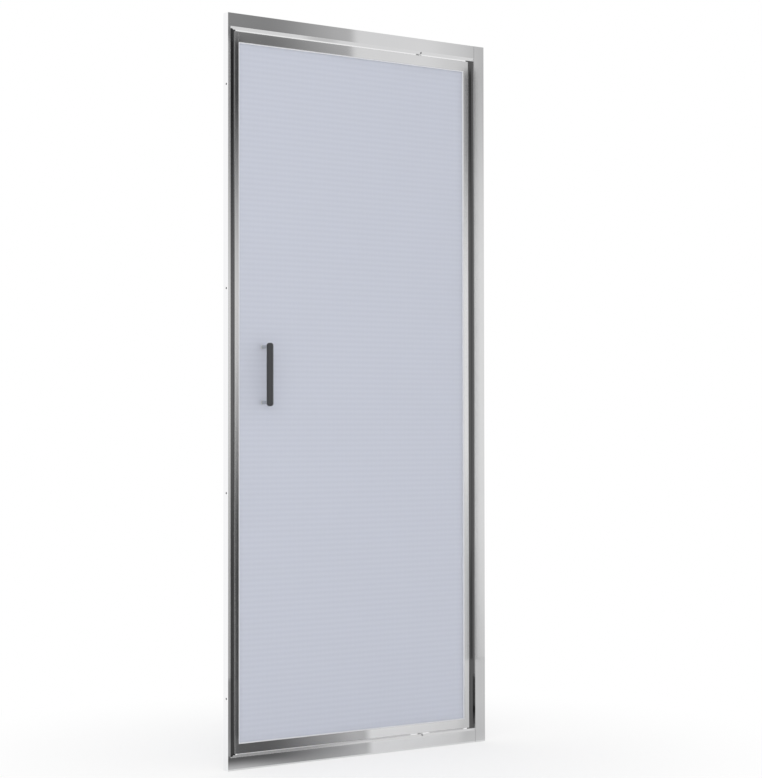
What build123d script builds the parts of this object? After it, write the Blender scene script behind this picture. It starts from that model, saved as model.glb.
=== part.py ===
from build123d import *
import os

# Framed pivot shower door for a niche: a fixed aluminium frame and one satin-glass leaf that turns
# on two pins set in from its right edge. Millimetres. X runs along the door, -Y is the room side,
# +Z is up, and the origin is under the middle of the leaf's thickness, on the tray.

os.makedirs("parts", exist_ok=True)

# Niche size that the frame fills
door_width = 800.0
door_height = 1850.0

# Depth of the frame around the leaf
leaf_depth = 14.0
front_recess = 5.0
rear_recess = 3.0
frame_wall = 1.6
edge_round = 0.5

# Header and sill: a flat face, then a lip that slopes back to the plane of the leaf
header_face = 33.0
header_lip = 7.0
sill_face = 32.0
sill_lip = 5.0

# Right side: jamb that slides in the wall channel
channel_face = 33.0
seam_gap = 0.6
slide_gap = 0.2
jamb_reach = 24.0
jamb_return = 3.0
channel_cap_plate = 1.2
plug_depth = 10.0
hinge_gap = 16.0
seal_slot = 4.0
tail_gap = 0.9
foot_width = 6.4
foot_thickness = 1.2
bulb_half = 6.5

# Left side: strike jamb with its magnetic profile and rear stop
strike_lip = 7.0
strike_reach = 17.0
rear_box_width = 8.4
rear_box_depth = 7.0
rear_port_inset = 6.0
stop_reach = 34.0
stop_gasket_width = 9.0
stop_gasket_inset = 1.0
stop_gasket_touch = 0.4
magnet_gap = 0.6
leaf_strip_reach = 4.4
strip_half = 5.0
strip_foot_inset = 34.0

# Rail of the strike jamb and the hooks of the black profile that snap over it
rail_neck = 2.0
rail_head = 4.4
rail_head_thickness = 0.9
rail_height = 2.3
strike_wall = 1.3
magnet_wall = 2.0
hook_gap = 0.3
hook_arm = 1.0
hook_depth = 0.9

# Leaf frame
left_stile_width = 12.0
right_stile_width = 15.4
top_rail_height = 26.0
bottom_rail_height = 23.5
leaf_wall = 1.4
top_gap = 3.0
bottom_gap = 2.5
left_channel_depth = 8.0
right_channel_depth = 9.0
rail_channel_depth = 9.0
strip_slot = 7.0
slot_lip = 1.1
drip_gap = 0.6
drip_half = 3.0
drip_lip = 0.6
drip_end = 12.0

# Glazing
glass_thickness = 5.0
glass_chamfer = 0.5
glass_edge_gap = 2.0
setting_block_height = 3.0
setting_block_length = 60.0
gasket_proud = 1.0
bead_width = 2.2
bead_recess = 0.8
gasket_gap = 0.3

# Pivots
pivot_inset = 208.0
pin_radius = 4.0
pin_running_gap = 0.05
pin_in_bearing = 11.0
bearing_length = 44.0
bearing_width = 11.0
bearing_height = 12.0
boss_radius = 5.5
boss_proud = 1.0
carrier_length = 50.0
carrier_screw_offset = 17.0
carrier_screw_depth = 7.2
pin_chamfer = 1.0
washer_radius = 7.0
thrust_gap = 0.1
lock_screw_radius = 2.5
lock_screw_length = 4.0
block_round = 1.5

# Screws and the ports that hold them
screw_radius = 1.6
screw_length = 14.0
screw_head_radius = 3.0
screw_head_height = 2.0
port_radius = 3.0
port_slot = 1.4
port_overlap = 0.1
screw_port_gap = 0.1
access_gap = 0.3
wall_hole_radius = 2.6
wall_hole_spacing = 500.0
wall_hole_count = 4
fixing_screw_spacing = 650.0

# Handle on the leaf
handle_inset = 105.5
handle_height = 965.0
post_spacing = 137.0
bar_length = 156.0
bar_radius = 8.5
bar_end_chamfer = 3.0
bar_standoff = 34.0
post_radius = 4.2
post_socket = 4.0
flange_radius = 5.0
flange_thickness = 1.2
sleeve_wall = 1.0
stud_radius = 2.5
stud_in_post = 10.0
stud_in_nut = 3.5
washer_thickness = 1.5
nut_radius = 7.0
nut_height = 5.0

# Clearance of pieces that fit in or over each other
fit_gap = 0.1

# Places worked out from the sizes above
left_x = -door_width / 2
right_x = door_width / 2
web_x = left_x + frame_wall
leaf_front_y = -leaf_depth / 2
leaf_rear_y = leaf_depth / 2
front_y = leaf_front_y - front_recess
rear_y = leaf_rear_y + rear_recess
header_bottom = door_height - header_face - header_lip
sill_top = sill_face + sill_lip
channel_edge_x = right_x - channel_face
hinge_jamb_x = channel_edge_x - seam_gap
leaf_right_x = hinge_jamb_x - hinge_gap
strike_x = left_x + strike_reach
leaf_left_x = strike_x + magnet_gap + leaf_strip_reach
leaf_bottom = sill_top + bottom_gap
leaf_top = header_bottom - top_gap
rail_left_x = leaf_left_x + left_stile_width
rail_right_x = leaf_right_x - right_stile_width
rail_length = rail_right_x - rail_left_x
top_rail_lip = leaf_top - top_rail_height
bottom_rail_lip = leaf_bottom + bottom_rail_height
top_web = top_rail_lip + rail_channel_depth
bottom_web = bottom_rail_lip - rail_channel_depth
left_web_x = rail_left_x - left_channel_depth
right_web_x = rail_right_x + right_channel_depth
leaf_inner_y = leaf_depth / 2 - leaf_wall
pivot_x = right_x - pivot_inset
pane_left_x = left_web_x + glass_edge_gap
pane_right_x = right_web_x - glass_edge_gap
pane_bottom = bottom_web + setting_block_height
pane_top = top_web - glass_edge_gap
glass_half = glass_thickness / 2
handle_x = left_x + handle_inset
post_heights = [handle_height - post_spacing / 2, handle_height + post_spacing / 2]
bar_y = -glass_half - bar_standoff
port_bore = screw_radius + screw_port_gap
port_reach = port_radius - port_overlap
low_end = (Align.CENTER, Align.CENTER, Align.MIN)
high_end = (Align.CENTER, Align.CENTER, Align.MAX)


def facing(y):
    """Upright plane at depth y that looks to the room, with X across and Z up."""
    return Plane.XZ.offset(-y)


def area(x_from, x_to, y_from, y_to, mode=Mode.ADD):
    """Rectangle between two pairs of limits in the open sketch."""
    with Locations(((x_from + x_to) / 2, (y_from + y_to) / 2)):
        Rectangle(abs(x_to - x_from), abs(y_to - y_from), mode=mode)


def screw_port(x, y, slot_turn):
    """Round port of an extrusion, bored for a screw and open along one side."""
    with Locations((x, y)):
        Circle(port_radius)
        Circle(port_bore, mode=Mode.SUBTRACT)
        Rectangle(port_radius + 1, port_slot, rotation=slot_turn,
                  align=(Align.MIN, Align.CENTER), mode=Mode.SUBTRACT)


def hex_screw(seat, length):
    """Hexagon screw: the head stands on the seat plane and the shank runs down from it."""
    with Locations(seat):
        Cylinder(screw_radius, length, align=high_end)
    with BuildSketch(seat) as head_face:
        RegularPolygon(screw_head_radius, 6)
    extrude(head_face.sketch, amount=screw_head_height)


def flat_screw(seat, length, gap=0.0, mode=Mode.ADD):
    """Countersunk screw flush with the seat plane, or its hole when it is subtracted with a gap."""
    cone_height = screw_head_radius - screw_radius
    with Locations(seat):
        Cylinder(screw_radius + gap, length, align=high_end, mode=mode)
        Cone(screw_radius + gap, screw_head_radius + gap, cone_height, align=high_end, mode=mode)


def header_outline():
    """Outer shape of the header across the door: depth along x, height along y."""
    Polyline((front_y, door_height), (rear_y, door_height), (rear_y, header_bottom),
             (leaf_front_y, header_bottom), (front_y, header_bottom + header_lip), close=True)


def sill_outline():
    """Outer shape of the sill across the door: depth along x, height along y."""
    Polyline((front_y, 0), (rear_y, 0), (rear_y, sill_top), (leaf_front_y, sill_top),
             (front_y, sill_face), close=True)


# Seats of the corner screws. Each plane's normal points away from the shank.
head_inset = 2 * frame_wall + slide_gap + screw_head_radius + fit_gap
frame_port_y = [front_y + head_inset, rear_y - head_inset]
header_port_z = door_height - frame_wall - port_reach
sill_port_z = frame_wall + port_reach
rear_port_x = left_x + rear_port_inset
rear_port_y = rear_y - rear_box_depth / 2
hinge_seats = [Plane(origin=(hinge_jamb_x + frame_wall, y, z), z_dir=(1, 0, 0))
               for y in frame_port_y for z in (sill_port_z, header_port_z)]
strike_seats = [Plane(origin=(rear_port_x, rear_port_y, header_bottom + frame_wall), z_dir=(0, 0, 1)),
                Plane(origin=(rear_port_x, rear_port_y, sill_top - frame_wall), z_dir=(0, 0, -1))]
lip_seats = []
for face_z, flat_z in ((header_bottom + header_lip, header_bottom), (sill_face, sill_top)):
    rise = flat_z - face_z
    middle = (pivot_x, (front_y + leaf_front_y) / 2, (face_z + flat_z) / 2)
    lip_seats.append(Plane(origin=middle, z_dir=(0, -abs(rise), front_recess * (1 if rise > 0 else -1))))
access_radius = screw_head_radius + access_gap

# Header: hollow section with two screw ports under its top wall
with BuildPart() as header:
    with BuildSketch(Plane.YZ.offset(web_x)) as header_section:
        with BuildLine():
            header_outline()
        make_face()
        fillet(header_section.vertices().group_by(Axis.X)[0], radius=edge_round)
        offset(amount=-frame_wall, kind=Kind.INTERSECTION, mode=Mode.SUBTRACT)
        for port_y in frame_port_y:
            screw_port(port_y, header_port_z, -90)
    extrude(amount=hinge_jamb_x - web_x)
    with Locations((pivot_x, 0, header_bottom)):
        Cylinder(boss_radius + fit_gap, frame_wall, align=low_end, mode=Mode.SUBTRACT)
    with Locations(lip_seats[0]):
        Cylinder(lock_screw_radius + fit_gap, 3 * frame_wall, mode=Mode.SUBTRACT)
    with Locations(strike_seats[0]):
        Cylinder(screw_radius + fit_gap, frame_wall, align=high_end, mode=Mode.SUBTRACT)
        Cylinder(access_radius, header_face + header_lip, align=low_end, mode=Mode.SUBTRACT)
header.part.label = "header"
export_step(header.part, "parts/header.step")

# Sill: the same kind of section, with its ports above the bottom wall
with BuildPart() as sill:
    with BuildSketch(Plane.YZ.offset(web_x)) as sill_section:
        with BuildLine():
            sill_outline()
        make_face()
        fillet(sill_section.vertices().group_by(Axis.X)[0], radius=edge_round)
        offset(amount=-frame_wall, kind=Kind.INTERSECTION, mode=Mode.SUBTRACT)
        for port_y in frame_port_y:
            screw_port(port_y, sill_port_z, 90)
    extrude(amount=hinge_jamb_x - web_x)
    with Locations((pivot_x, 0, sill_top)):
        Cylinder(boss_radius + fit_gap, frame_wall, align=high_end, mode=Mode.SUBTRACT)
    with Locations(lip_seats[1]):
        Cylinder(lock_screw_radius + fit_gap, 3 * frame_wall, mode=Mode.SUBTRACT)
    with Locations(strike_seats[1]):
        Cylinder(screw_radius + fit_gap, frame_wall, align=high_end, mode=Mode.SUBTRACT)
        Cylinder(access_radius, sill_face + sill_lip, align=low_end, mode=Mode.SUBTRACT)
sill.part.label = "sill"
export_step(sill.part, "parts/sill.step")

# Strike jamb: full-height web on the wall, then between the sill and the header a front lip, a rear
# box with one port, and the stop behind the leaf
wall_hole_heights = [door_height / 2 + (i - (wall_hole_count - 1) / 2) * wall_hole_spacing
                     for i in range(wall_hole_count)]
strike_rear_y = rear_y - rear_box_depth - slide_gap
strike_front_y = front_y + frame_wall + slide_gap
strike_middle_y = (strike_front_y + strike_rear_y) / 2
with BuildPart() as strike_jamb:
    with BuildSketch(Plane.XY):
        area(left_x, web_x, front_y, rear_y)
        area(left_x, left_x + strike_lip, front_y, front_y + frame_wall)
        area(left_x, web_x + rear_box_width, rear_y - rear_box_depth, rear_y)
        area(web_x, web_x + rear_box_width - leaf_wall, rear_y - rear_box_depth + leaf_wall,
             rear_y - leaf_wall, mode=Mode.SUBTRACT)
        area(left_x, left_x + stop_reach, rear_y - leaf_wall, rear_y)
        area(web_x, web_x + rail_height, strike_middle_y - rail_neck / 2, strike_middle_y + rail_neck / 2)
        area(web_x + rail_height - rail_head_thickness, web_x + rail_height,
             strike_middle_y - rail_head / 2, strike_middle_y + rail_head / 2)
        screw_port(rear_port_x, rear_port_y, 0)
    extrude(amount=door_height)
    with BuildSketch(Plane.YZ.offset(web_x)):
        with BuildLine():
            header_outline()
        make_face()
        with BuildLine():
            sill_outline()
        make_face()
    extrude(amount=stop_reach, mode=Mode.SUBTRACT)
    with Locations([(web_x, strike_middle_y, z) for z in wall_hole_heights]):
        Box(rail_height, rail_head, wall_hole_radius * 8, align=(Align.MIN, Align.CENTER, Align.CENTER),
            mode=Mode.SUBTRACT)
    for z in wall_hole_heights:
        hole_plane = Plane(origin=(left_x, strike_middle_y, z), z_dir=(1, 0, 0))
        with Locations(hole_plane):
            Cylinder(wall_hole_radius, frame_wall, align=low_end, mode=Mode.SUBTRACT)
strike_jamb.part.label = "strike_jamb"
export_step(strike_jamb.part, "parts/strike_jamb.step")

# Magnetic strike profile: black hollow strip whose two hooks snap over the rail of the strike jamb
arm_inner = rail_head / 2 + hook_gap
arm_end_x = web_x + slide_gap
hook_end_x = web_x + rail_height - rail_head_thickness - hook_gap
seal_bottom = sill_top + slide_gap
seal_height = header_bottom - sill_top - 2 * slide_gap
with BuildPart() as strike_seal:
    with BuildSketch(Plane.XY.offset(seal_bottom)) as strike_section:
        area(web_x + slide_gap, strike_x, strike_front_y, strike_rear_y)
        fillet(strike_section.vertices().group_by(Axis.X)[-1], radius=strike_wall)
        area(web_x + slide_gap, strike_x - magnet_wall, strike_front_y + strike_wall,
             strike_rear_y - strike_wall, mode=Mode.SUBTRACT)
        for side in (-1, 1):
            inner = strike_middle_y + side * arm_inner
            area(arm_end_x, strike_x - magnet_wall, inner, inner + side * hook_arm)
            area(arm_end_x, hook_end_x, inner, inner - side * hook_depth)
    extrude(amount=seal_height)
strike_seal.part.label = "strike_seal"
export_step(strike_seal.part, "parts/strike_seal.step")

# Stop gasket: soft strip on the stop behind the closing edge of the leaf
stop_face_y = rear_y - leaf_wall
stop_gasket_x = leaf_left_x + stop_gasket_inset
with BuildPart() as stop_gasket:
    with BuildSketch(Plane.XY.offset(seal_bottom)) as stop_gasket_section:
        area(stop_gasket_x, stop_gasket_x + stop_gasket_width, leaf_rear_y + stop_gasket_touch, stop_face_y)
        fillet(stop_gasket_section.vertices().group_by(Axis.Y)[0], radius=0.5)
    extrude(amount=seal_height)
stop_gasket.part.label = "stop_gasket"
export_step(stop_gasket.part, "parts/stop_gasket.step")

# Hinge jamb: channel that opens to the wall, slotted along its web for the lip seal
jamb_front_y = front_y + frame_wall + slide_gap
jamb_rear_y = rear_y - frame_wall - slide_gap
jamb_end_x = hinge_jamb_x + jamb_reach
jamb_height = door_height - channel_cap_plate - slide_gap
fixing_x = channel_edge_x + channel_face / 2
fixing_heights = [door_height / 2 + i * fixing_screw_spacing for i in (-1, 0, 1)]
fixing_seats = [Plane(origin=(fixing_x, rear_y, z), z_dir=(0, 1, 0)) for z in fixing_heights]
with BuildPart() as hinge_jamb:
    with BuildSketch(Plane.XY):
        area(hinge_jamb_x, jamb_end_x, jamb_front_y, jamb_rear_y)
        area(hinge_jamb_x + frame_wall, jamb_end_x - frame_wall, jamb_front_y + frame_wall,
             jamb_rear_y - frame_wall, mode=Mode.SUBTRACT)
        area(jamb_end_x - frame_wall, jamb_end_x, jamb_front_y + jamb_return,
             jamb_rear_y - jamb_return, mode=Mode.SUBTRACT)
        area(hinge_jamb_x, hinge_jamb_x + frame_wall, -seal_slot / 2, seal_slot / 2, mode=Mode.SUBTRACT)
    extrude(amount=jamb_height)
    with BuildSketch(Plane.YZ.offset(hinge_jamb_x)):
        area(-seal_slot / 2, seal_slot / 2, 0, sill_top)
        area(-seal_slot / 2, seal_slot / 2, header_bottom, jamb_height)
    extrude(amount=frame_wall)
    for seat in hinge_seats:
        with Locations(seat):
            Cylinder(screw_radius + fit_gap, frame_wall, align=high_end, mode=Mode.SUBTRACT)
    for seat in fixing_seats:
        with Locations(seat.offset(-frame_wall - slide_gap)):
            Cylinder(screw_radius + fit_gap, frame_wall, align=high_end, mode=Mode.SUBTRACT)
hinge_jamb.part.label = "hinge_jamb"
export_step(hinge_jamb.part, "parts/hinge_jamb.step")

# Wall channel: the wide polished face at the right, over the hinge jamb
with BuildPart() as wall_channel:
    with BuildSketch(Plane.XY) as channel_section:
        area(channel_edge_x, right_x, front_y, rear_y)
        fillet(channel_section.vertices().group_by(Axis.X)[-1], radius=edge_round)
        area(channel_edge_x, right_x - frame_wall, front_y + frame_wall, rear_y - frame_wall,
             mode=Mode.SUBTRACT)
    extrude(amount=door_height)
    for z in wall_hole_heights:
        with Locations(Plane(origin=(right_x, (front_y + rear_y) / 2, z), z_dir=(1, 0, 0))):
            Cylinder(wall_hole_radius, frame_wall, align=high_end, mode=Mode.SUBTRACT)
    for seat in fixing_seats:
        with Locations(seat):
            Cylinder(screw_radius + fit_gap, frame_wall, align=high_end, mode=Mode.SUBTRACT)
wall_channel.part.label = "wall_channel"
export_step(wall_channel.part, "parts/wall_channel.step")

# Cap that plugs the top of the wall channel and the jamb in it
with BuildPart() as channel_cap:
    with BuildSketch(Plane.XY.offset(door_height - channel_cap_plate)):
        area(channel_edge_x + fit_gap, right_x - frame_wall - fit_gap, jamb_front_y, jamb_rear_y)
    extrude(amount=channel_cap_plate)
    with BuildSketch(Plane.XY.offset(door_height - channel_cap_plate)):
        area(hinge_jamb_x + frame_wall + fit_gap, jamb_end_x - frame_wall - fit_gap,
             jamb_front_y + frame_wall + fit_gap, jamb_rear_y - frame_wall - fit_gap)
        area(hinge_jamb_x + 2 * frame_wall, jamb_end_x - 2 * frame_wall,
             jamb_front_y + 2 * frame_wall, jamb_rear_y - 2 * frame_wall, mode=Mode.SUBTRACT)
        area(hinge_jamb_x, hinge_jamb_x + 3 * frame_wall + screw_head_height, front_y, rear_y,
             mode=Mode.SUBTRACT)
    extrude(amount=-plug_depth)
channel_cap.part.label = "channel_cap"
export_step(channel_cap.part, "parts/channel_cap.step")

# Lip seal between the hinge jamb and the tail of the leaf, with an arrow foot in the jamb's slot
neck_half = seal_slot / 2 - fit_gap
bulb_x = leaf_right_x + tail_gap
with BuildPart() as hinge_seal:
    with BuildSketch(Plane.XY.offset(seal_bottom)) as hinge_seal_section:
        area(bulb_x, hinge_jamb_x, -bulb_half, bulb_half)
        fillet(hinge_seal_section.vertices().group_by(Axis.X)[0], radius=3)
        area(bulb_x + strike_wall, hinge_jamb_x - strike_wall, -bulb_half + strike_wall,
             bulb_half - strike_wall, mode=Mode.SUBTRACT)
        area(hinge_jamb_x, hinge_jamb_x + frame_wall + fit_gap, -neck_half, neck_half)
        foot_x = hinge_jamb_x + frame_wall + fit_gap
        with BuildLine():
            Polyline((foot_x, -foot_width / 2), (foot_x, foot_width / 2),
                     (foot_x + foot_thickness, neck_half), (foot_x + foot_thickness, -neck_half), close=True)
        make_face()
    extrude(amount=seal_height)
hinge_seal.part.label = "hinge_seal"
export_step(hinge_seal.part, "parts/hinge_seal.step")


# Pivot bearings: nylon blocks in the header and the sill, each with a boss through the wall and
# held by its lock screw
def bearing_block(plane, lock_seat):
    """Block behind a wall that lies on the plane, with a bored boss that stands out of the wall."""
    with BuildSketch(plane.offset(-frame_wall)) as block_face:
        RectangleRounded(bearing_length, bearing_width, block_round)
    extrude(block_face.sketch, amount=-bearing_height)
    with Locations(plane.offset(boss_proud)):
        Cylinder(boss_radius, boss_proud + frame_wall, align=high_end)
        Cylinder(pin_radius + pin_running_gap, boss_proud + frame_wall + bearing_height, align=high_end,
                 mode=Mode.SUBTRACT)
    with Locations(lock_seat):
        Cylinder(lock_screw_radius + fit_gap, 2 * (lock_screw_length + fit_gap), mode=Mode.SUBTRACT)


header_seat = Plane(origin=(pivot_x, 0, header_bottom), x_dir=(1, 0, 0), z_dir=(0, 0, -1))
sill_seat = Plane(origin=(pivot_x, 0, sill_top), x_dir=(1, 0, 0), z_dir=(0, 0, 1))
with BuildPart() as top_bearing:
    bearing_block(header_seat, lip_seats[0])
top_bearing.part.label = "top_bearing"
export_step(top_bearing.part, "parts/top_bearing.step")

with BuildPart() as bottom_bearing:
    bearing_block(sill_seat, lip_seats[1])
bottom_bearing.part.label = "bottom_bearing"
export_step(bottom_bearing.part, "parts/bottom_bearing.step")

# Screws of the fixed frame, grouped by kind
with BuildPart() as lock_screws:
    for seat in lip_seats:
        with Locations(seat):
            Cylinder(lock_screw_radius, lock_screw_length, align=high_end)
            Cylinder(lock_screw_radius * 0.5, lock_screw_length * 0.5, align=high_end, mode=Mode.SUBTRACT)
lock_screws.part.label = "lock_screws"
export_step(lock_screws.part, "parts/lock_screws.step")

with BuildPart() as frame_corner_screws:
    for seat in hinge_seats + strike_seats:
        hex_screw(seat, screw_length)
frame_corner_screws.part.label = "frame_corner_screws"
export_step(frame_corner_screws.part, "parts/frame_corner_screws.step")

with BuildPart() as channel_fixing_screws:
    for seat in fixing_seats:
        hex_screw(seat, 2 * frame_wall + slide_gap + screw_head_height)
channel_fixing_screws.part.label = "channel_fixing_screws"
export_step(channel_fixing_screws.part, "parts/channel_fixing_screws.step")

# Seats of the leaf's corner screws, one at each end of each rail
port_y = leaf_inner_y - port_reach
rail_port_z = [(leaf_top + top_web) / 2, (leaf_bottom + bottom_web) / 2]
left_corner_seats = [Plane(origin=(left_web_x - leaf_wall, port_y, z), z_dir=(-1, 0, 0))
                     for z in rail_port_z]
right_corner_seats = [Plane(origin=(right_web_x + leaf_wall, port_y, z), z_dir=(1, 0, 0))
                      for z in rail_port_z]
carrier_screw_x = pivot_x - carrier_screw_offset
carrier_seats = [Plane(origin=(carrier_screw_x, 0, leaf_top), z_dir=(0, 0, 1)),
                 Plane(origin=(carrier_screw_x, 0, leaf_bottom), z_dir=(0, 0, -1))]

# Left stile: glazing channel on one side of its web, slot for the magnetic strip on the other
leaf_height = leaf_top - leaf_bottom
with BuildPart() as left_stile:
    with BuildSketch(Plane.XY.offset(leaf_bottom)) as left_stile_section:
        area(leaf_left_x, rail_left_x, leaf_front_y, leaf_rear_y)
        fillet(left_stile_section.vertices().group_by(Axis.Y)[0], radius=edge_round)
        area(left_web_x, rail_left_x, -leaf_inner_y, leaf_inner_y, mode=Mode.SUBTRACT)
        area(leaf_left_x + slot_lip, left_web_x - leaf_wall, -leaf_inner_y, leaf_inner_y, mode=Mode.SUBTRACT)
        area(leaf_left_x, leaf_left_x + slot_lip, -strip_slot / 2, strip_slot / 2, mode=Mode.SUBTRACT)
    extrude(amount=leaf_height)
    for seat in left_corner_seats:
        with Locations(seat):
            Cylinder(screw_radius + fit_gap, leaf_wall, align=high_end, mode=Mode.SUBTRACT)
            Cylinder(access_radius, left_stile_width, align=low_end, mode=Mode.SUBTRACT)
left_stile.part.label = "left_stile"
export_step(left_stile.part, "parts/left_stile.step")

# Right stile: glazing channel and a closed chamber, with access holes for the corner screws
with BuildPart() as right_stile:
    with BuildSketch(Plane.XY.offset(leaf_bottom)) as right_stile_section:
        area(rail_right_x, leaf_right_x, leaf_front_y, leaf_rear_y)
        fillet(right_stile_section.vertices().group_by(Axis.Y)[0], radius=edge_round)
        area(rail_right_x, right_web_x, -leaf_inner_y, leaf_inner_y, mode=Mode.SUBTRACT)
        area(right_web_x + leaf_wall, leaf_right_x - leaf_wall, -leaf_inner_y, leaf_inner_y,
             mode=Mode.SUBTRACT)
    extrude(amount=leaf_height)
    for seat in right_corner_seats:
        with Locations(seat):
            Cylinder(screw_radius + fit_gap, leaf_wall, align=high_end, mode=Mode.SUBTRACT)
            Cylinder(access_radius, right_stile_width, align=low_end, mode=Mode.SUBTRACT)
right_stile.part.label = "right_stile"
export_step(right_stile.part, "parts/right_stile.step")


def leaf_rail(outer_z, web_z, lip_z, port_z):
    """Rail of the leaf: closed chamber with a screw port on its rear wall, then a glazing channel."""
    inward = 1 if lip_z > outer_z else -1
    with BuildSketch(Plane.YZ.offset(rail_left_x)) as rail_section:
        area(leaf_front_y, leaf_rear_y, outer_z, lip_z)
        fillet(rail_section.vertices().group_by(Axis.X)[0], radius=edge_round)
        area(-leaf_inner_y, leaf_inner_y, web_z, lip_z, mode=Mode.SUBTRACT)
        area(-leaf_inner_y, leaf_inner_y, outer_z + inward * leaf_wall, web_z - inward * leaf_wall,
             mode=Mode.SUBTRACT)
        screw_port(port_y, port_z, 180)
    extrude(rail_section.sketch, amount=rail_length)
    chamber = abs(web_z - outer_z) - 2 * leaf_wall
    with Locations((pivot_x, 0, (web_z + outer_z) / 2)):
        Box(carrier_length + 2 * fit_gap, 2 * leaf_inner_y, chamber, mode=Mode.SUBTRACT)
    with Locations(Plane(origin=(pivot_x, 0, outer_z), z_dir=(0, 0, -inward))):
        Cylinder(pin_radius + fit_gap, leaf_wall, align=high_end, mode=Mode.SUBTRACT)


with BuildPart() as top_rail:
    leaf_rail(leaf_top, top_web, top_rail_lip, rail_port_z[0])
    flat_screw(carrier_seats[0], leaf_wall, gap=fit_gap, mode=Mode.SUBTRACT)
top_rail.part.label = "top_rail"
export_step(top_rail.part, "parts/top_rail.step")

with BuildPart() as bottom_rail:
    leaf_rail(leaf_bottom, bottom_web, bottom_rail_lip, rail_port_z[1])
    flat_screw(carrier_seats[1], leaf_wall, gap=fit_gap, mode=Mode.SUBTRACT)
bottom_rail.part.label = "bottom_rail"
export_step(bottom_rail.part, "parts/bottom_rail.step")

# Corner screws of the leaf, four alike
with BuildPart() as leaf_corner_screws:
    for seat in left_corner_seats + right_corner_seats:
        hex_screw(seat, screw_length)
leaf_corner_screws.part.label = "leaf_corner_screws"
export_step(leaf_corner_screws.part, "parts/leaf_corner_screws.step")


# Pivot carriers: metal blocks in the rails that hold the two pins
def pivot_carrier(outer_z, web_z, screw_seat):
    """Block that fills the chamber of a rail, bored for its pin and for its screw."""
    inward = 1 if web_z > outer_z else -1
    seat_z = outer_z + inward * leaf_wall
    height = abs(web_z - outer_z) - 2 * leaf_wall - fit_gap
    with BuildSketch(Plane(origin=(pivot_x, 0, seat_z))) as block_face:
        RectangleRounded(carrier_length, 2 * (leaf_inner_y - fit_gap), block_round)
    extrude(block_face.sketch, amount=inward * height)
    with Locations(Plane(origin=(pivot_x, 0, seat_z), z_dir=(0, 0, -inward))):
        Cylinder(pin_radius + pin_running_gap, height, align=high_end, mode=Mode.SUBTRACT)
    with Locations(screw_seat):
        Cylinder(screw_radius + screw_port_gap, leaf_wall + height, align=high_end, mode=Mode.SUBTRACT)


with BuildPart() as top_carrier:
    pivot_carrier(leaf_top, top_web, carrier_seats[0])
top_carrier.part.label = "top_carrier"
export_step(top_carrier.part, "parts/top_carrier.step")

with BuildPart() as bottom_carrier:
    pivot_carrier(leaf_bottom, bottom_web, carrier_seats[1])
bottom_carrier.part.label = "bottom_carrier"
export_step(bottom_carrier.part, "parts/bottom_carrier.step")

with BuildPart() as carrier_screws:
    for seat in carrier_seats:
        flat_screw(seat, carrier_screw_depth)
carrier_screws.part.label = "carrier_screws"
export_step(carrier_screws.part, "parts/carrier_screws.step")


# Pivot pins and the washers that keep the leaf off the bosses
def pivot_pin(edge_z, web_z, boss_z):
    """Pin that stands in a carrier and reaches past the boss into the bearing."""
    outward = 1 if boss_z > edge_z else -1
    foot_z = web_z + outward * (leaf_wall + fit_gap)
    straight = abs(boss_z - foot_z) + pin_in_bearing - pin_chamfer
    with Locations(Plane(origin=(pivot_x, 0, foot_z), z_dir=(0, 0, outward))):
        Cylinder(pin_radius, straight, align=low_end)
    with Locations(Plane(origin=(pivot_x, 0, foot_z + outward * straight), z_dir=(0, 0, outward))):
        Cone(pin_radius, pin_radius - pin_chamfer, pin_chamfer, align=low_end)


top_boss_z = header_bottom - boss_proud
bottom_boss_z = sill_top + boss_proud
with BuildPart() as top_pin:
    pivot_pin(leaf_top, top_web, top_boss_z)
top_pin.part.label = "top_pin"
export_step(top_pin.part, "parts/top_pin.step")

with BuildPart() as bottom_pin:
    pivot_pin(leaf_bottom, bottom_web, bottom_boss_z)
bottom_pin.part.label = "bottom_pin"
export_step(bottom_pin.part, "parts/bottom_pin.step")

with BuildPart() as pivot_washers:
    for edge_z, boss_z in ((leaf_top, top_boss_z), (leaf_bottom, bottom_boss_z)):
        outward = 1 if boss_z > edge_z else -1
        with Locations(Plane(origin=(pivot_x, 0, edge_z), z_dir=(0, 0, outward))):
            thickness = abs(boss_z - edge_z) - thrust_gap
            Cylinder(washer_radius, thickness, align=low_end)
            Cylinder(pin_radius + fit_gap, thickness, align=low_end, mode=Mode.SUBTRACT)
pivot_washers.part.label = "pivot_washers"
export_step(pivot_washers.part, "parts/pivot_washers.step")

# Magnetic strip on the closing edge: its foot stops short of the corner screws
foot_front_x = leaf_left_x + slot_lip + fit_gap
foot_rear_x = left_web_x - leaf_wall - fit_gap
with BuildPart() as leaf_strip:
    with BuildSketch(Plane.XY.offset(leaf_bottom)) as leaf_strip_section:
        area(leaf_left_x - leaf_strip_reach, leaf_left_x, -strip_half, strip_half)
        fillet(leaf_strip_section.vertices().group_by(Axis.X)[0], radius=1)
    extrude(amount=leaf_height)
    with BuildSketch(Plane.XY.offset(leaf_bottom + strip_foot_inset)):
        area(leaf_left_x, foot_rear_x, -strip_slot / 2 + fit_gap, strip_slot / 2 - fit_gap)
        area(foot_front_x, foot_rear_x, -leaf_inner_y + fit_gap, leaf_inner_y - fit_gap)
    extrude(amount=leaf_height - 2 * strip_foot_inset)
leaf_strip.part.label = "leaf_strip"
export_step(leaf_strip.part, "parts/leaf_strip.step")

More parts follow.
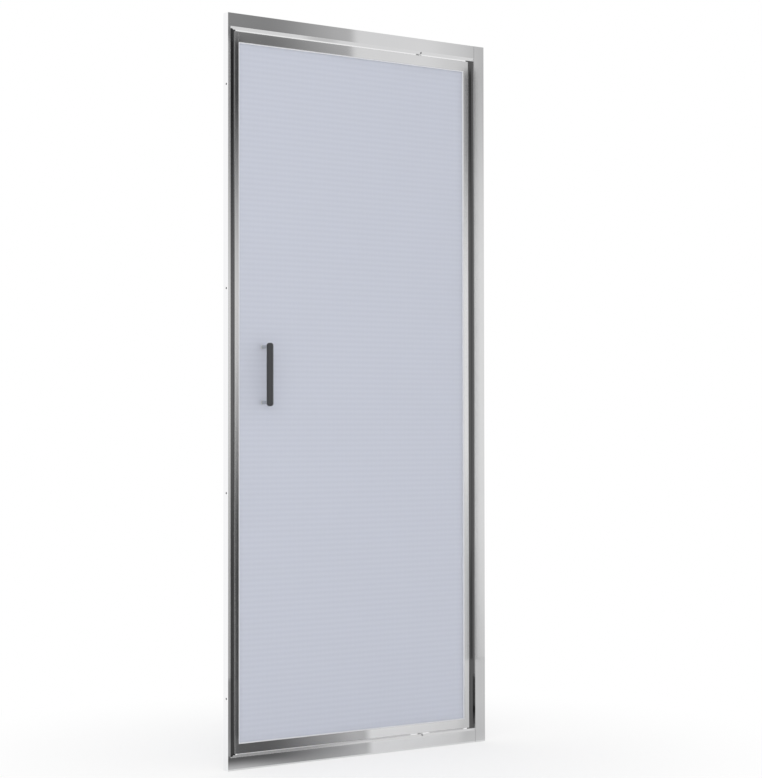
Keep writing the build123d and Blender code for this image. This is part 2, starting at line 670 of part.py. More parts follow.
# Drip seal under the bottom rail, in two lengths on either side of the pivot
with BuildPart() as drip_seal:
    with BuildSketch(Plane.YZ.offset(rail_left_x)):
        with BuildLine():
            Polyline((-drip_half, leaf_bottom), (drip_half, leaf_bottom), (drip_lip, sill_top + drip_gap),
                     (-drip_lip, sill_top + drip_gap), close=True)
        make_face()
    extrude(amount=rail_length)
    with Locations((pivot_x, 0, leaf_bottom)):
        Box(carrier_length + drip_end, 4 * drip_half, 4 * bottom_gap, mode=Mode.SUBTRACT)
drip_seal.part.label = "drip_seal"
export_step(drip_seal.part, "parts/drip_seal.step")

# Glass: one toughened pane with ground edges, bored for the handle
stud_bore = stud_radius + fit_gap
glass_bore = stud_bore + sleeve_wall + fit_gap
with BuildPart() as glass_pane:
    with BuildSketch(facing(-glass_half)):
        area(pane_left_x, pane_right_x, pane_bottom, pane_top)
    extrude(amount=-glass_thickness)
    for face_edges in (glass_pane.edges().group_by(Axis.Y)[0], glass_pane.edges().group_by(Axis.Y)[-1]):
        chamfer(face_edges, length=glass_chamfer)
    with Locations([Plane(origin=(handle_x, -glass_half, z), z_dir=(0, -1, 0)) for z in post_heights]):
        Cylinder(glass_bore, glass_thickness, align=high_end, mode=Mode.SUBTRACT)
glass_pane.part.label = "glass_pane"
export_step(glass_pane.part, "parts/glass_pane.step")

# Setting blocks under the pane, at its quarter points
pane_quarter = (pane_right_x - pane_left_x) / 4
with BuildPart() as setting_blocks:
    for x in (pane_left_x + pane_quarter, pane_right_x - pane_quarter):
        with Locations((x, 0, bottom_web)):
            Box(setting_block_length, glass_thickness - 2 * fit_gap, setting_block_height, align=low_end)
setting_blocks.part.label = "setting_blocks"
export_step(setting_blocks.part, "parts/setting_blocks.step")


# Glazing gaskets: a soft wedge frame on each face of the glass
def glazing_gasket(y_from, y_to, outer, inner):
    """Soft frame on the glass: its limits lie outside the daylight opening, its window inside it."""
    with BuildSketch(facing(y_from)) as frame_face:
        area(rail_left_x - outer[0], rail_right_x + outer[1], bottom_rail_lip - outer[2],
             top_rail_lip + outer[2])
        area(rail_left_x + inner, rail_right_x - inner, bottom_rail_lip + inner, top_rail_lip - inner,
             mode=Mode.SUBTRACT)
    extrude(frame_face.sketch, amount=y_from - y_to)


wedge_reach = [left_channel_depth - gasket_gap, right_channel_depth - gasket_gap,
               rail_channel_depth - gasket_gap]
bead_reach = [-fit_gap, -fit_gap, -fit_gap]
with BuildPart() as front_gasket:
    glazing_gasket(-leaf_inner_y + fit_gap, -glass_half, wedge_reach, bead_width)
    glazing_gasket(leaf_front_y + bead_recess, -glass_half, bead_reach, bead_width)
front_gasket.part.label = "front_gasket"
export_step(front_gasket.part, "parts/front_gasket.step")

with BuildPart() as rear_gasket:
    glazing_gasket(glass_half, leaf_inner_y - fit_gap, wedge_reach, gasket_proud)
rear_gasket.part.label = "rear_gasket"
export_step(rear_gasket.part, "parts/rear_gasket.step")

# Handle: round bar with chamfered ends, on two turned posts that clamp through the glass
with BuildPart() as handle_bar:
    with BuildSketch(Plane.XY.offset(handle_height - bar_length / 2)):
        with Locations((handle_x, bar_y)):
            Circle(bar_radius)
    extrude(amount=bar_length)
    chamfer(handle_bar.edges().filter_by(GeomType.CIRCLE), length=bar_end_chamfer)
    with Locations([Plane(origin=(handle_x, bar_y + bar_radius, z), z_dir=(0, 1, 0)) for z in post_heights]):
        Cylinder(post_radius + fit_gap, post_socket, align=high_end, mode=Mode.SUBTRACT)
handle_bar.part.label = "handle_bar"
export_step(handle_bar.part, "parts/handle_bar.step")

post_y = -glass_half - flange_thickness
post_length = post_y - (bar_y + bar_radius - post_socket + fit_gap)
with BuildPart() as handle_posts:
    for z in post_heights:
        with Locations(Plane(origin=(handle_x, post_y, z), z_dir=(0, -1, 0))):
            Cylinder(post_radius, post_length, align=low_end)
            Cylinder(stud_radius + fit_gap, stud_in_post, align=low_end, mode=Mode.SUBTRACT)
handle_posts.part.label = "handle_posts"
export_step(handle_posts.part, "parts/handle_posts.step")


def handle_ring(y, radius, bore, thickness):
    """One ring on each post's axis, from depth y towards the shower."""
    with Locations([Plane(origin=(handle_x, y, z), z_dir=(0, 1, 0)) for z in post_heights]):
        Cylinder(radius, thickness, align=low_end)
        Cylinder(bore, thickness, align=low_end, mode=Mode.SUBTRACT)


# Flanged sleeves that keep the posts and the studs off the glass
with BuildPart() as glass_sleeves:
    handle_ring(post_y, flange_radius, stud_bore, flange_thickness)
    handle_ring(-glass_half, stud_bore + sleeve_wall, stud_bore, glass_thickness)
glass_sleeves.part.label = "glass_sleeves"
export_step(glass_sleeves.part, "parts/glass_sleeves.step")

with BuildPart() as inner_washers:
    handle_ring(glass_half, nut_radius, stud_bore, washer_thickness)
inner_washers.part.label = "inner_washers"
export_step(inner_washers.part, "parts/inner_washers.step")

nut_y = glass_half + washer_thickness
stud_y = post_y - stud_in_post + fit_gap
with BuildPart() as handle_studs:
    for z in post_heights:
        with Locations(Plane(origin=(handle_x, stud_y, z), z_dir=(0, 1, 0))):
            Cylinder(stud_radius, nut_y + stud_in_nut - fit_gap - stud_y, align=low_end)
handle_studs.part.label = "handle_studs"
export_step(handle_studs.part, "parts/handle_studs.step")

# Low round nuts on the shower side
with BuildPart() as cap_nuts:
    with Locations([Plane(origin=(handle_x, nut_y, z), z_dir=(0, 1, 0)) for z in post_heights]):
        Cylinder(nut_radius, nut_height, align=low_end)
        Cylinder(stud_bore, stud_in_nut, align=low_end, mode=Mode.SUBTRACT)
cap_nuts.part.label = "cap_nuts"
export_step(cap_nuts.part, "parts/cap_nuts.step")
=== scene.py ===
import math

import bmesh
import bpy
from mathutils import Matrix, Vector


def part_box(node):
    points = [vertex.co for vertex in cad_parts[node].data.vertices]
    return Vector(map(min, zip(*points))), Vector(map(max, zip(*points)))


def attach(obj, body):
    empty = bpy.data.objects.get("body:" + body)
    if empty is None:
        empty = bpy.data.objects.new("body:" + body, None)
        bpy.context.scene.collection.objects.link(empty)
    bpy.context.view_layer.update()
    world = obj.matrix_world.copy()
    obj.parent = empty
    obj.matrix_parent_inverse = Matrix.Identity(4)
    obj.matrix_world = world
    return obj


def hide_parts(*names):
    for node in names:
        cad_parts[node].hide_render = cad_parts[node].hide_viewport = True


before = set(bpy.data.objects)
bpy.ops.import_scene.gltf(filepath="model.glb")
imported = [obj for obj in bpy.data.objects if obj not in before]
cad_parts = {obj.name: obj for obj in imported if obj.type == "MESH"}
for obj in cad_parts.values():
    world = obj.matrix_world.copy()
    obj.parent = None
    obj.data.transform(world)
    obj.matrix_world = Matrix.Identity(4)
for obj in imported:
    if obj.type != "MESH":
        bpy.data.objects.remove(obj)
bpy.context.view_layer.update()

# Studio: a pale floor that runs into a white backdrop, one soft lamp on the room side, and three
# graded grey cards that only reflections see. They give the polished frame its darker stretches.


class Link:
    """Output socket of a node. Arithmetic on it adds Math nodes to the same tree."""

    def __init__(self, tree, socket):
        self.tree = tree
        self.socket = socket

    def math(self, operation, first, second):
        return self.tree.add("ShaderNodeMath", {"operation": operation}, {0: first, 1: second})

    def __add__(self, other):
        return self.math("ADD", self, other)

    def __sub__(self, other):
        return self.math("SUBTRACT", self, other)

    def __mul__(self, other):
        return self.math("MULTIPLY", self, other)

    def __radd__(self, other):
        return self.math("ADD", other, self)

    def __rsub__(self, other):
        return self.math("SUBTRACT", other, self)

    def __rmul__(self, other):
        return self.math("MULTIPLY", other, self)


class Tree:
    """Node tree of a material or of the world, emptied and ready to be filled."""

    def __init__(self, owner):
        owner.use_nodes = True
        self.nodes = owner.node_tree.nodes
        self.links = owner.node_tree.links
        self.nodes.clear()

    def add(self, kind, settings=None, sockets=None, out=0):
        """One node: its settings first, then the values or links of its sockets."""
        node = self.nodes.new(kind)
        for name, value in (settings or {}).items():
            setattr(node, name, value)
        for name, value in (sockets or {}).items():
            if isinstance(value, Link):
                self.links.new(value.socket, node.inputs[name])
            else:
                node.inputs[name].default_value = value
        return Link(self, node.outputs[out]) if node.outputs else None

    def blend(self, factor, first, second):
        """Colour that goes from the first to the second as the factor rises."""
        return self.add("ShaderNodeMix", {"data_type": "RGBA"}, {0: factor, 6: first, 7: second}, out=2)

    def step(self, value, start, end):
        """0 before the start, 1 past the end, and a smooth rise between them."""
        return self.add("ShaderNodeMapRange", {"interpolation_type": "SMOOTHSTEP"},
                        {"Value": value, "From Min": start, "From Max": end})


def sheet_of(name, corners):
    """Flat four-cornered mesh object."""
    mesh = bpy.data.meshes.new(name)
    mesh.from_pydata(corners, [], [range(len(corners))])
    sheet = bpy.data.objects.new(name, mesh)
    bpy.context.collection.objects.link(sheet)
    return sheet


bpy.context.scene.view_settings.view_transform = "Standard"
world = bpy.data.worlds.new("studio")
bpy.context.scene.world = world
sky = Tree(world)
sky_light = 0.82
ray = {name: sky.add("ShaderNodeLightPath", out=name)
       for name in ("Is Camera Ray", "Is Glossy Ray", "Is Transmission Ray")}
seen = sky.add("ShaderNodeMath", {"operation": "MAXIMUM"},
               {0: ray["Is Camera Ray"], 1: ray["Is Glossy Ray"]})
seen = sky.add("ShaderNodeMath", {"operation": "MAXIMUM"}, {0: seen, 1: ray["Is Transmission Ray"]})
background = sky.add("ShaderNodeBackground", None,
                     {"Color": (1, 1, 1, 1), "Strength": sky_light + seen * (1 - sky_light)})
sky.add("ShaderNodeOutputWorld", None, {"Surface": background})

floor_half = 6.0
floor_white = 0.96
glow_near = 0.5
glow_start = 0.2
glow_full = 1.3
floor = sheet_of("floor", [(-floor_half, -floor_half, 0), (floor_half, -floor_half, 0),
                           (floor_half, floor_half, 0), (-floor_half, floor_half, 0)])
floor_material = bpy.data.materials.new("pale_floor")
floor_tree = Tree(floor_material)
place = floor_tree.add("ShaderNodeTexCoord", out="Object")
spread = floor_tree.add("ShaderNodeVectorMath", {"operation": "LENGTH"}, {0: place}, out="Value")
paint = floor_tree.add("ShaderNodeBsdfDiffuse", None, {"Color": (floor_white,) * 3 + (1,)})
glow = floor_tree.add("ShaderNodeEmission", None, {"Color": (1, 1, 1, 1), "Strength": 1.0})
floor_glow = glow_near + (1 - glow_near) * floor_tree.step(spread, glow_start, glow_full)
floor_mix = floor_tree.add("ShaderNodeMixShader", None, {0: floor_glow, 1: paint, 2: glow})
floor_tree.add("ShaderNodeOutputMaterial", None, {"Surface": floor_mix})
floor.data.materials.append(floor_material)


card_grey = (0.03, 0.03, 0.031, 1)


def flag(name, corners, axes, density):
    """Grey card that only reflections see. Its density is an expression over places on it, in metres
    along the named axes."""
    card = sheet_of(name, corners)
    material = bpy.data.materials.new(name)
    tree = Tree(material)
    place = tree.add("ShaderNodeTexCoord", out="Object")
    along = [tree.add("ShaderNodeSeparateXYZ", None, {0: place}, out=axis) for axis in axes]
    clear = tree.add("ShaderNodeBsdfTransparent")
    grey = tree.add("ShaderNodeEmission", None, {"Color": card_grey, "Strength": 1.0})
    mix = tree.add("ShaderNodeMixShader", None, {0: density(tree, *along), 1: clear, 2: grey})
    tree.add("ShaderNodeOutputMaterial", None, {"Surface": mix})
    card.data.materials.append(material)
    card.visible_camera = False
    card.visible_diffuse = False
    card.visible_shadow = False
    card.visible_transmission = False


def distance(tree, value, middle):
    """How far a value is from the given middle."""
    return tree.add("ShaderNodeMath", {"operation": "ABSOLUTE"}, {0: value - middle})


def band(tree, value, start, end, soft=0.004):
    """1 between two limits and 0 outside them, with soft edges."""
    return tree.step(value, start - soft, start + soft) * (1 - tree.step(value, end - soft, end + soft))


def upright_density(tree, x, z):
    """Density of the card in front of the door. It is dark where the leaf's left stile and the left
    part of the header reflect it, and light grey elsewhere. The parts that the jamb's lip, the two
    seals and the edges of both stiles reflect are upright bands of their own."""
    header_part = tree.step(z, 1.9, 2.05)
    edge = 0.72 + header_part * (0.34 - 0.0244 * z)
    left = 1 - tree.step(x - edge, 0.0, 0.03)
    ends = tree.step(distance(tree, z, 1.25), 0.1, 0.75)
    rail_part = 1 - tree.step(z, 2.14, 2.17)
    header_fade = 0.22 - 0.08 * rail_part + 0.26 * tree.step(x, 0.65, 1.02)
    dark = 0.3 + ends * (0.64 - header_part * header_fade)
    from_middle = distance(tree, z, 0.95)
    light = 0.07 + 0.07 * tree.step(from_middle, 0.1, 1.3)
    light = light + tree.step(from_middle, 0.4, 1.2) * 0.16 * tree.step(x, 1.3, 1.6)
    density = light + left * (dark - light)
    below_header = 1 - tree.step(z, 2.1, 2.14)
    jamb_lip = 0.21 + 0.22 * tree.step(distance(tree, z, 1.0), 0.1, 1.1)
    left_seal = tree.step(z, 1.15, 1.95) + 0.66 * (1 - tree.step(z, 0.33, 0.95))
    left_stile = 0.27 + 0.73 * tree.step(distance(tree, z, 1.25), -0.05, 0.8)
    right_stile = 0.95 * tree.step(z, 1.22, 2.0) + 0.47 * (1 - tree.step(z, 0.4, 0.8))
    right_seal = 0.85 * tree.step(z, 1.5, 1.95) + 0.75 * (1 - tree.step(z, 0.2, 0.5))
    right_lip = 0.88
    for start, end, value in ((0.3, 0.525, jamb_lip), (0.525, 0.541, left_seal),
                              (0.541, 0.57, left_stile), (1.508, 1.52, right_stile * 0.5),
                              (1.52, 1.534, right_stile), (1.534, 1.545, right_seal),
                              (1.545, 1.556, right_lip)):
        density = density + band(tree, x, start, end) * below_header * (value - density)
    channel_top = tree.step(x, 1.5, 1.6) * tree.step(z, 1.6, 2.1)
    return density + channel_top * 0.08


def floor_density(tree, x, y):
    """Density of the card on the floor: dark where the left part of the sill and the foot of the left
    jamb reflect it, light grey elsewhere, and lighter next to the door. Its edges lean to the right
    with the reach, the distance in front of the door, as the camera's lines of sight do."""
    reach = 0 - y
    left = 1 - tree.step(x - 0.714 * reach, 0.0, 0.03)
    along_sill = x - 0.6 * reach
    dark = 0.89 + 0.07 * tree.step(reach, 0.33, 0.5) - 0.36 * tree.step(along_sill, -0.3, 0.0)
    dark = dark - 0.12 * tree.step(along_sill, -0.08, 0.02)
    jamb_foot = (1 - tree.step(x - 0.6165 * reach, -0.388, -0.376)) * tree.step(reach, 0.17, 0.19)
    dark = dark - 0.25 * jamb_foot
    far = tree.step(reach, 0.4, 0.5)
    light = 0.11 * far + (0.03 + 0.18 * tree.step(x - 0.75 * reach, 0.05, 0.4)) * (1 - far)
    under_right_jamb = band(tree, x - 0.805 * reach, 0.31, 0.44, 0.02)
    light = light + under_right_jamb * (0.3 - light)
    near = 0.3 + 0.5 * tree.step(x, -0.4, -0.1)
    return (near + (1 - near) * tree.step(reach, -0.01, 0.15)) * (light + left * (dark - light))


def ceiling_density(tree, x):
    """Density of the card overhead, for the sill's lip: grey at the left, lighter to the right."""
    return 0.62 - 0.45 * tree.step(x, 1.95, 2.4)


card_front = -1.5
card_right = 2.6
card_low = 0.003
card_high = 3.3
flag("upright_flag", [(0.2, card_front, 0), (card_right, card_front, 0), (card_right, card_front, 3.2),
                      (0.2, card_front, 3.2)], "XZ", upright_density)
flag("floor_flag", [(-0.5, -0.015, card_low), (-0.5, card_front, card_low),
                    (card_right, card_front, card_low), (card_right, -0.015, card_low)],
     "XY", floor_density)
flag("ceiling_flag", [(1.6, -1.2, card_high), (1.6, 0, card_high), (3.0, 0, card_high),
                      (3.0, -1.2, card_high)], "X", ceiling_density)

lamp_aim = Vector((0, 0, 0.9))
lamp_data = bpy.data.lights.new("soft_box", "AREA")
lamp_data.shape = "RECTANGLE"
lamp_data.size = 3.6
lamp_data.size_y = 3.0
lamp_data.energy = 58.0
lamp = bpy.data.objects.new("soft_box", lamp_data)
lamp.location = (-2.9, -3.5, 2.3)
lamp.rotation_euler = (lamp_aim - lamp.location).to_track_quat("-Z", "Y").to_euler()
lamp.visible_glossy = False
bpy.context.collection.objects.link(lamp)

# Camera at the photograph's place: to the left of the door, level with its middle, far away and
# with a long lens. It looks a little upwards and is hardly tilted.
camera_place = (-2.977, -4.207, 0.839)
camera_data = bpy.data.cameras.new("camera")
camera_data.lens = 93.3
camera_data.clip_end = 50.0
camera = bpy.data.objects.new("camera", camera_data)
camera_yaw = math.radians(35.9)
camera_pitch = math.radians(1.04)
camera_roll = math.radians(-0.08)
ahead = Vector((math.sin(camera_yaw) * math.cos(camera_pitch),
                math.cos(camera_yaw) * math.cos(camera_pitch), math.sin(camera_pitch)))
level = Vector((math.cos(camera_yaw), -math.sin(camera_yaw), 0))
above = level.cross(ahead)
side = math.cos(camera_roll) * level + math.sin(camera_roll) * above
above = side.cross(ahead)
camera.matrix_world = Matrix.Translation(camera_place) @ Matrix(
    ((side.x, above.x, -ahead.x), (side.y, above.y, -ahead.y), (side.z, above.z, -ahead.z))).to_4x4()
bpy.context.collection.objects.link(camera)
bpy.context.scene.camera = camera

# Aluminium extrusions of the frame and of the leaf: pressed through a die, which leaves fine lines
# along their length, then brightened and anodised. Uprights and level bars differ only in the
# direction of those lines.


class Finish(Tree):
    """Material of one real finish, with the object's own coordinates at hand."""

    def __init__(self, name):
        self.material = bpy.data.materials.new(name)
        super().__init__(self.material)
        self.place = self.add("ShaderNodeTexCoord", out="Object")

    def noise(self, stretch, detail=2.0, roughness=0.5):
        """Noise with its own number of patches per metre along x, y and z, from 0 to 1."""
        place = self.add("ShaderNodeMapping", None, {"Vector": self.place, "Scale": stretch})
        return self.add("ShaderNodeTexNoise", None,
                        {"Vector": place, "Scale": 1.0, "Detail": detail, "Roughness": roughness})

    def bump(self, height, depth):
        """Normal of a surface whose relief is the height times the depth in metres."""
        return self.add("ShaderNodeBump", None, {"Height": height, "Distance": depth, "Strength": 1.0})

    def close(self, color, roughness, metallic=0.0, normal=None, **fixed):
        """Ends the material in its shader."""
        sockets = {"Base Color": color, "Roughness": roughness, "Metallic": metallic}
        if normal:
            sockets["Normal"] = normal
        sockets.update(fixed)
        shader = self.add("ShaderNodeBsdfPrincipled", None, sockets)
        self.add("ShaderNodeOutputMaterial", None, {"Surface": shader})
        return self.material


def dress(material, *nodes):
    """Gives the named solids a finish."""
    for name in nodes:
        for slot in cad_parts[name].material_slots:
            slot.material = material


wall_face = 0.4


def extruded(name, stretch):
    """Bright anodised aluminium. Its die lines run along the axis on which the stretch is small. The
    outer side faces at both ends are painted pale, near white: a painted highlight for the bright light
    that falls on that side, with the die lines still in it."""
    metal = Finish(name)
    lines = metal.noise(stretch, detail=3.0, roughness=0.6)
    handling = metal.noise((7.0, 7.0, 7.0), detail=3.0)
    color = metal.blend(handling, (0.705, 0.705, 0.71, 1), (0.765, 0.765, 0.77, 1))
    facing = metal.add("ShaderNodeTexCoord", out="Normal")
    to_wall = metal.add("ShaderNodeSeparateXYZ", None, {0: facing}, out="X")
    sideways = metal.add("ShaderNodeSeparateXYZ", None, {0: metal.place}, out="X")
    outermost = metal.step(sideways * sideways, wall_face ** 2 - 0.0005, wall_face ** 2 - 0.0001)
    outer = metal.step(to_wall * to_wall, 0.8, 0.95) * outermost
    # Painted highlight: the outer side faces at both ends get a pale, near-white colour for the bright
    # light on that side.
    pale_side_highlight = metal.blend(lines, (0.86, 0.86, 0.87, 1), (0.96, 0.96, 0.97, 1))
    color = metal.blend(outer, color, pale_side_highlight)
    roughness = 0.03 + lines * 0.03 + handling * 0.02
    return metal.close(color, roughness, 1.0, metal.bump(lines, 0.000004))


level_metal = extruded("aluminium_level", (3.0, 700.0, 700.0))
upright_metal = extruded("aluminium_upright", (700.0, 700.0, 3.0))
dress(level_metal, "header", "sill", "top_rail", "bottom_rail")
dress(upright_metal, "strike_jamb", "hinge_jamb", "wall_channel", "left_stile", "right_stile")

# Black seals: the magnetic pair on the closing edge, the lip seal at the tail and the soft strip
# on the stop, all of extruded vinyl with a smooth, slightly dusty skin.
vinyl = Finish("black_vinyl")
skin = vinyl.noise((900.0, 900.0, 60.0), detail=3.0)
dust = vinyl.noise((30.0, 30.0, 9.0), detail=4.0)
dress(vinyl.close(vinyl.blend(dust, (0.002, 0.002, 0.0023, 1), (0.005, 0.005, 0.0055, 1)),
                  0.035 + dust * 0.02, normal=vinyl.bump(skin, 0.000001),
                  **{"IOR": 1.72, "Coat Weight": 1.0, "Coat IOR": 1.6, "Coat Roughness": 0.03}),
      "strike_seal", "hinge_seal", "stop_gasket", "leaf_strip")

# Glazing gaskets and drip seal: clear-grey vinyl. The gaskets are wedged between the glass and its
# channel, and the seal hangs from the bottom rail.
clear_vinyl = Finish("clear_vinyl")
cloud = clear_vinyl.noise((40.0, 40.0, 40.0), detail=3.0)
dress(clear_vinyl.close(clear_vinyl.blend(cloud, (0.82, 0.83, 0.86, 1), (0.88, 0.89, 0.92, 1)),
                        0.4 + cloud * 0.15, normal=clear_vinyl.bump(cloud, 0.00005),
                        **{"Transmission Weight": 0.15, "IOR": 1.45}),
      "front_gasket", "rear_gasket", "drip_seal")

# Glass: one toughened pane with an even satin etch, faint roller waves and a fine linen print. It
# stands on two setting blocks in the leaf's channel.
pane = Finish("satin_glass")
etch = pane.noise((260.0, 260.0, 260.0), detail=2.0)
heights = pane.add("ShaderNodeSeparateXYZ", None, {0: pane.place}, out="Z")
across = pane.add("ShaderNodeSeparateXYZ", None, {0: pane.place}, out="X")
line_spacing = 0.0132
per_metre = 2 * math.pi / line_spacing
level_lines = pane.add("ShaderNodeMath", {"operation": "SINE"}, {0: heights * per_metre})
upright_lines = pane.add("ShaderNodeMath", {"operation": "SINE"}, {0: across * per_metre})
waves = level_lines * 0.5 + upright_lines * 0.2 + etch
linen = 0.35 + etch * 0.3 + level_lines * 0.24 + upright_lines * 0.05
dress(pane.close(pane.blend(linen, (0.61, 0.635, 0.715, 1), (0.67, 0.695, 0.775, 1)), 0.55 + etch * 0.05,
                 normal=pane.bump(waves, 0.00004),
                 **{"Transmission Weight": 0.35, "IOR": 1.45, "Specular IOR Level": 0.25}), "glass_pane")

# Moulded parts of light grey nylon: the pivot bearings in the header and in the sill, the washers
# that carry the leaf, the cap of the wall channel, the setting blocks and the sleeves in the glass.
nylon = Finish("grey_nylon")
grain = nylon.noise((700.0, 700.0, 700.0), detail=2.0)
dress(nylon.close(nylon.blend(grain, (0.58, 0.59, 0.59, 1), (0.64, 0.65, 0.65, 1)), 0.45 + grain * 0.1,
                  normal=nylon.bump(grain, 0.00003)),
      "top_bearing", "bottom_bearing", "pivot_washers", "channel_cap", "setting_blocks", "glass_sleeves")

# Pivot carriers: zinc castings with a dull skin. They sit inside the top and bottom rails, each
# held by one screw, and hold the pivot pins.
zinc = Finish("cast_zinc")
cast_skin = zinc.noise((420.0, 420.0, 420.0), detail=4.0)
dress(zinc.close(zinc.blend(cast_skin, (0.4, 0.4, 0.41, 1), (0.5, 0.5, 0.51, 1)),
                 0.4 + cast_skin * 0.2, 0.9, zinc.bump(cast_skin, 0.00006)),
      "top_carrier", "bottom_carrier")

# Pins, screws and studs: turned from stainless steel, with fine tool marks. The leaf turns on the
# pins. The screws join the corners and fix the carriers and the wall channel, and the studs hold
# the handle.
steel = Finish("stainless_steel")
marks = steel.noise((1500.0, 1500.0, 1500.0), detail=2.0)
dress(steel.close(steel.blend(marks, (0.62, 0.62, 0.62, 1), (0.72, 0.72, 0.72, 1)),
                  0.26 + marks * 0.15, 1.0, steel.bump(marks, 0.00001)),
      "top_pin", "bottom_pin", "frame_corner_screws", "channel_fixing_screws", "leaf_corner_screws",
      "carrier_screws", "handle_studs")

# Lock screws in the two lips: short screws of blackened steel with a hexagon socket and a tapered
# point, set flush in the slope. They hold the pivot bearings in their pockets.


def turned(bm, outline, seat, segments=64, sides=0, through=False):
    """Adds a turned piece: the outline's (radius, height) points go round the seat's Z axis. With a
    number of sides, the points of negative radius lie on a polygon, as the walls of a socket do. A
    piece with a hole through it has an outline that closes on itself."""
    rings = []
    for radius, height in outline:
        ring = []
        for i in range(segments):
            angle = 2 * math.pi * i / segments
            reach = abs(radius)
            if radius < 0:
                half = math.pi / sides
                reach *= math.cos(half) / math.cos((angle + half) % (2 * half) - half)
            point = Vector((reach * math.cos(angle), reach * math.sin(angle), height))
            ring.append(bm.verts.new(seat @ point))
        rings.append(ring)
    for near, far in zip(rings, rings[1:] + rings[:1] if through else rings[1:]):
        for i in range(segments):
            bm.faces.new((near[i], near[i - 1], far[i - 1], far[i]))
    if not through:
        bm.faces.new(rings[-1])
        bm.faces.new(list(reversed(rings[0])))


def arc(center_radius, center_height, radius, start, end, count=8):
    """Points of a round edge, with its angles in degrees from the outward radius."""
    angles = [math.radians(start + (end - start) * i / count) for i in range(count + 1)]
    return [(center_radius + radius * math.cos(a), center_height + radius * math.sin(a)) for a in angles]


def placed(name, bm, body, material, slot, *nodes):
    """Closes a mesh into one smooth-shaded piece that rides on a body and stands for solids."""
    bmesh.ops.recalc_face_normals(bm, faces=bm.faces)
    mesh = bpy.data.meshes.new(name)
    bm.to_mesh(mesh)
    bm.free()
    mesh.shade_smooth()
    mesh.set_sharp_from_angle(angle=math.radians(32))
    mesh.materials.append(material)
    piece = bpy.data.objects.new(name, mesh)
    bpy.context.collection.objects.link(piece)
    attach(piece, body)
    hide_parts(*nodes)


def seat_at(origin, direction):
    """Placement with its Z axis along the direction."""
    return Matrix.Translation(origin) @ Vector(direction).to_track_quat("Z", "Y").to_matrix().to_4x4()


blackened = Finish("blackened_steel")
oil = blackened.noise((600.0, 600.0, 600.0), detail=3.0)
blackened_steel = blackened.close(blackened.blend(oil, (0.18, 0.18, 0.185, 1), (0.25, 0.25, 0.255, 1)),
                                  0.35 + oil * 0.2, 0.6, blackened.bump(oil, 0.00002))
lock_radius = 0.0025
lock_length = 0.004
lock_edge = 0.0003
socket_radius = 0.00145
socket_edge = 0.0002
header_face = 0.033
sill_face = 0.032
header_low, header_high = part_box("header")
sill_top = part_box("sill")[1].z
lip_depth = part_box("left_stile")[0].y - header_low.y
pivot_x = sum(corner.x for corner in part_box("top_pin")) / 2
lips = [(header_high.z - header_face, header_low.z), (sill_face, sill_top)]
lock_mesh = bmesh.new()
for face_z, flat_z in lips:
    rise = flat_z - face_z
    outward = Vector((0, -abs(rise), math.copysign(lip_depth, rise)))
    seat = seat_at((pivot_x, header_low.y + lip_depth / 2, (face_z + flat_z) / 2), outward)
    turned(lock_mesh, [(lock_radius * 0.6, -lock_length), (lock_radius, -lock_length * 0.85)]
           + arc(lock_radius - lock_edge, -lock_edge, lock_edge, 0, 90)
           + [(socket_radius + socket_edge, 0), (-socket_radius, -socket_edge),
              (-socket_radius, -lock_length * 0.5)], seat, sides=6)
placed("lock_screw_pair", lock_mesh, "frame", blackened_steel, "dark_screw", "lock_screws")

# Handle posts, washers and cap nuts: turned brass under bright chrome with a faint polishing haze.
# The posts have a fine groove near the glass and a neck at the bar. The nuts are domed, and stand
# on the shower side.
chrome = Finish("bright_chrome")
haze = chrome.noise((120.0, 120.0, 120.0), detail=3.0)
bright_chrome = chrome.close(chrome.blend(haze, (0.55, 0.56, 0.57, 1), (0.62, 0.63, 0.64, 1)),
                             0.2 + haze * 0.1, 1.0, chrome.bump(haze, 0.000004))
posts_low, posts_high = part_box("handle_posts")
handle_x = (posts_low.x + posts_high.x) / 2
post_radius = (posts_high.x - posts_low.x) / 2
post_heights = (posts_low.z + post_radius, posts_high.z - post_radius)
post_length = posts_high.y - posts_low.y
bar_low, bar_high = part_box("handle_bar")
bar_rear = post_length - (bar_high.y - posts_low.y)
stud_radius = 0.0026
post_bore = 0.0088
post_edge = 0.0005
groove_middle = 0.0026
groove_radius = 0.0003
groove_land = 0.0004
neck_start = bar_rear - 0.0016
neck_slope = 0.0004
neck_radius = post_radius - 0.0005
post_mesh = bmesh.new()
for height in post_heights:
    seat = seat_at((handle_x, posts_high.y, height), (0, -1, 0))
    turned(post_mesh, [(stud_radius, post_bore), (stud_radius, 0)]
           + arc(post_radius - post_edge, post_edge, post_edge, -90, 0)
           + [(post_radius, groove_middle - groove_land)]
           + arc(post_radius, groove_middle, groove_radius, -90, -270, 6)
           + [(post_radius, groove_middle + groove_land), (post_radius, neck_start),
              (neck_radius, neck_start + neck_slope), (neck_radius, bar_rear - neck_slope),
              (post_radius, bar_rear), (post_radius, post_length)], seat)
placed("post_pair", post_mesh, "leaf", bright_chrome, "bright_chrome", "handle_posts")

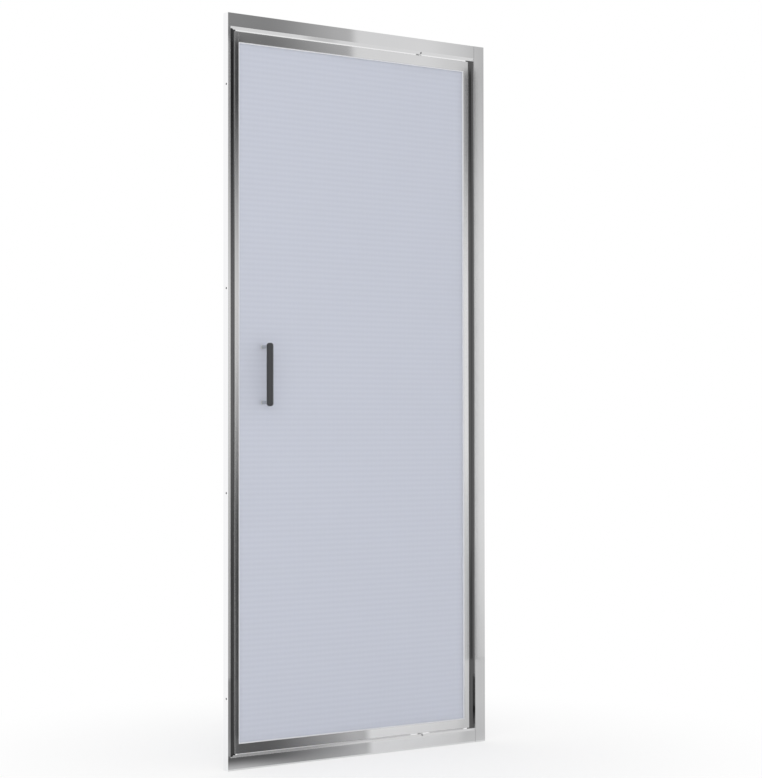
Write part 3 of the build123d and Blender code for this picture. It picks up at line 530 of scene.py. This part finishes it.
washer_low, washer_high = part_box("inner_washers")
nut_low, nut_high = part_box("cap_nuts")
washer_radius = (nut_high.x - nut_low.x) / 2
washer_height = washer_high.y - washer_low.y
washer_edge = 0.0004
nut_radius = washer_radius - 0.0002
nut_height = nut_high.y - nut_low.y
nut_bore = 0.0034
nut_edge = 0.0002
nut_groove = 0.0024
nut_dome = 0.002
nut_socket = 0.002
washer_mesh = bmesh.new()
nut_mesh = bmesh.new()
for height in post_heights:
    seat = seat_at((handle_x, washer_low.y, height), (0, 1, 0))
    turned(washer_mesh, [(stud_radius, washer_height), (stud_radius, 0)]
           + arc(washer_radius - washer_edge, washer_edge, washer_edge, -90, 0)
           + arc(washer_radius - washer_edge, washer_height - washer_edge, washer_edge, 0, 90),
           seat, through=True)
    seat = seat_at((handle_x, nut_low.y, height), (0, 1, 0))
    turned(nut_mesh, [(stud_radius, nut_bore), (stud_radius, 0), (nut_radius - nut_edge, 0),
                      (nut_radius, nut_edge), (nut_radius, nut_groove - 0.0002),
                      (nut_radius - 0.0003, nut_groove), (nut_radius, nut_groove + 0.0002)]
           + arc(nut_radius - nut_dome, nut_height - nut_dome, nut_dome, 0, 75)
           + [(nut_socket + 0.0002, nut_height), (-nut_socket, nut_height - 0.0003),
              (-nut_socket, nut_height - 0.0014)], seat, sides=6)
placed("washer_pair", washer_mesh, "leaf", bright_chrome, "bright_chrome", "inner_washers")
placed("nut_pair", nut_mesh, "leaf", bright_chrome, "bright_chrome", "cap_nuts")

# Handle bar: a round grip with domed ends, in soft black rubber over a metal core. The two posts
# enter it from behind.
rubber = Finish("grip_rubber")
pores = rubber.noise((1400.0, 1400.0, 1400.0), detail=2.0)
wear = rubber.noise((25.0, 25.0, 25.0), detail=3.0)
grip_rubber = rubber.close(rubber.blend(wear, (0.018, 0.019, 0.022, 1), (0.028, 0.029, 0.032, 1)),
                           0.36 + wear * 0.1, normal=rubber.bump(pores, 0.00003),
                           **{"IOR": 1.55, "Sheen Weight": 0.3, "Sheen Roughness": 0.35})
bar_radius = (bar_high.x - bar_low.x) / 2
bar_length = bar_high.z - bar_low.z
bar_round = 0.0065
bar_flat = 0.0005
bar_seat = Matrix.Translation(((bar_low.x + bar_high.x) / 2, (bar_low.y + bar_high.y) / 2, bar_low.z))
bar_mesh = bmesh.new()
turned(bar_mesh, [(bar_flat, 0)] + arc(bar_radius - bar_round, bar_round, bar_round, -90, 0, 12)
       + arc(bar_radius - bar_round, bar_length - bar_round, bar_round, 0, 90, 12)
       + [(bar_flat, bar_length)], bar_seat, segments=96)
placed("grip_bar", bar_mesh, "leaf", grip_rubber, "black_grip", "handle_bar")
